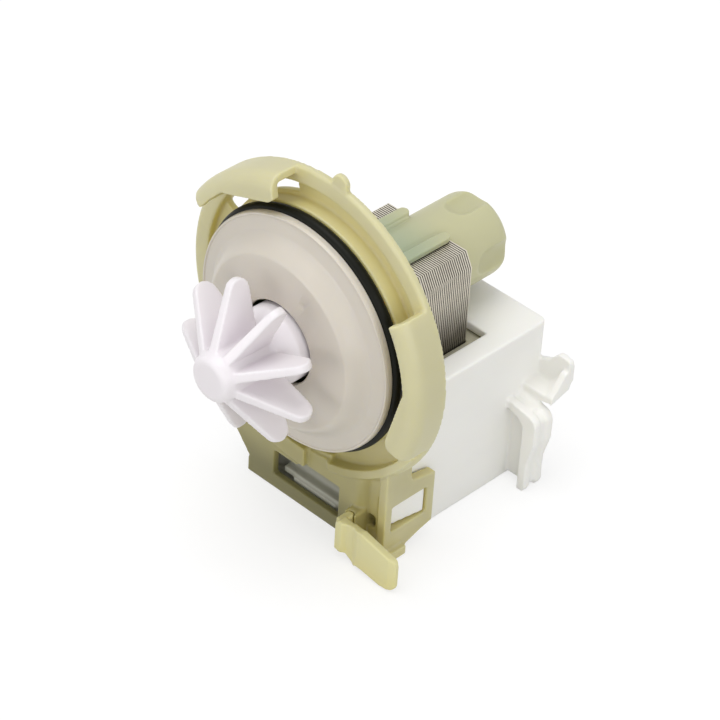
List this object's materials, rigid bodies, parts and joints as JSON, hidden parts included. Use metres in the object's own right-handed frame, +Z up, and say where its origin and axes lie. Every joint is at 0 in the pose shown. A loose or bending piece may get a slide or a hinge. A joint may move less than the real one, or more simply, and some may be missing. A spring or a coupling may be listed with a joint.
{
  "type": "dishwasher drain pump",
  "caption": "Bayonet-mounted synchronous drain pump: radial impeller, round cover with seal ring, sealed rotor can, laminated U core and enclosed coil block with bracket and latch.",
  "frame": {"origin": "on the shaft's axis, in the plane of the cover's front rim", "axes": "-Y along the shaft towards the impeller's nose, +Z up from the coil block to the shaft, +X towards the latch and the clip"},
  "size_m": [0.0802, 0.089, 0.0981],
  "materials": {
    "housing": "satin, slightly translucent cream polypropylene",
    "latch": "satin cream polypropylene",
    "cover": "satin warm white",
    "seal": "black, slightly glossy",
    "can": "satin, slightly translucent greenish cream",
    "impeller": "satin white",
    "impeller_cap": "satin white",
    "shaft": "ground stainless steel",
    "magnet": "sintered ferrite",
    "sleeve": "dark grey",
    "dog": "dark grey",
    "damper": "black",
    "washer": "tan bearing plastic",
    "bearing": "moulded graphite",
    "carrier": "off-white",
    "bearing_seat": "black",
    "laminations": "punched electrical steel, thin sheets",
    "bobbin": "natural glass-filled plastic",
    "winding": "enamelled copper wire",
    "block": "satin white",
    "base": "satin white",
    "tab": "tin-plated brass",
    "fuse": "sleeved body",
    "lead": "enamelled copper wire"
  },
  "bodies": {
    "housing": {"flange_housing": "housing", "wet_end_cover": "cover", "seal_ring": "seal", "rotor_can": "can", "front_bearing": "bearing", "front_bearing_carrier": "carrier", "rear_bearing": "bearing", "rear_bearing_seat": "bearing_seat", "stator_core": "laminations", "left_bobbin": "bobbin", "right_bobbin": "bobbin", "left_winding": "winding", "right_winding": "winding", "coil_cover": "block", "coil_base": "base", "terminal_tabs": "tab", "thermal_fuse": "fuse", "coil_leads": "lead"},
    "rotor": {"rotor_shaft": "shaft", "rotor_magnet": "magnet", "rotor_sleeve": "sleeve", "drive_dog": "dog", "drive_damper": "damper", "thrust_washers": "washer"},
    "impeller": {"impeller": "impeller", "impeller_rear_cap": "impeller_cap"},
    "latch": {"release_latch": "latch"}
  },
  "joints": [
    {"name": "rotor_spin", "type": "hinge", "parent": "housing", "child": "rotor", "pos_m": [0, 0, 0], "axis": [0, 1, 0], "continuous": true},
    {"name": "impeller_play", "type": "hinge", "parent": "rotor", "child": "impeller", "pos_m": [0, 0, 0], "axis": [0, 1, 0], "range_deg": [-100, 100]},
    {"name": "latch_flex", "type": "hinge", "parent": "housing", "child": "latch", "pos_m": [0.0181, 0.0026, -0.048], "axis": [0, 0, 1], "range_deg": [0, 9], "stiffness_Nm_per_rad": 0.54}
  ]
}
